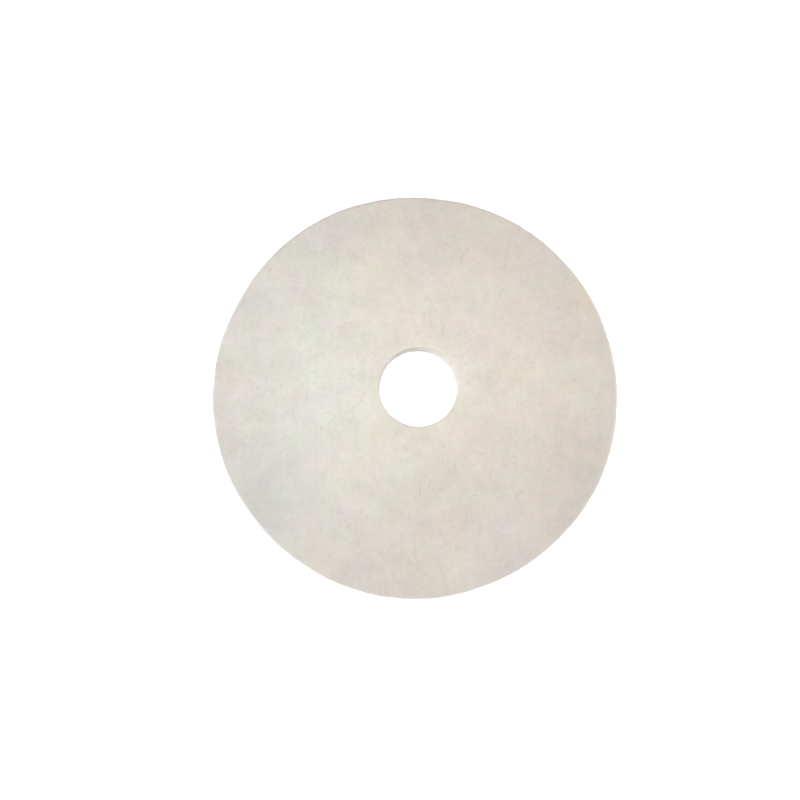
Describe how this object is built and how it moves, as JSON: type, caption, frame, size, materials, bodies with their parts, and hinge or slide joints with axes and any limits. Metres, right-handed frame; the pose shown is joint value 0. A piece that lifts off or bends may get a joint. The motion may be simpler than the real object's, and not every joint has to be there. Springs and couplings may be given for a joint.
{
  "type": "felt polishing wheel",
  "caption": "Flat round wheel of cream pressed wool felt with a plain central arbor bore, for polishing stones on a lapidary machine.",
  "frame": {"origin": "on the bore's axis at the lower face, where the wheel lies on a bench", "axes": "+Z along the bore's axis, out of the working face that is seen; the wheel is round, so +X and +Y are any two radii at a right angle"},
  "size_m": [0.127, 0.127, 0.0095],
  "materials": {
    "wool_felt": "matte"
  },
  "bodies": {
    "root": {"felt_disc": "wool_felt"}
  },
  "joints": []
}
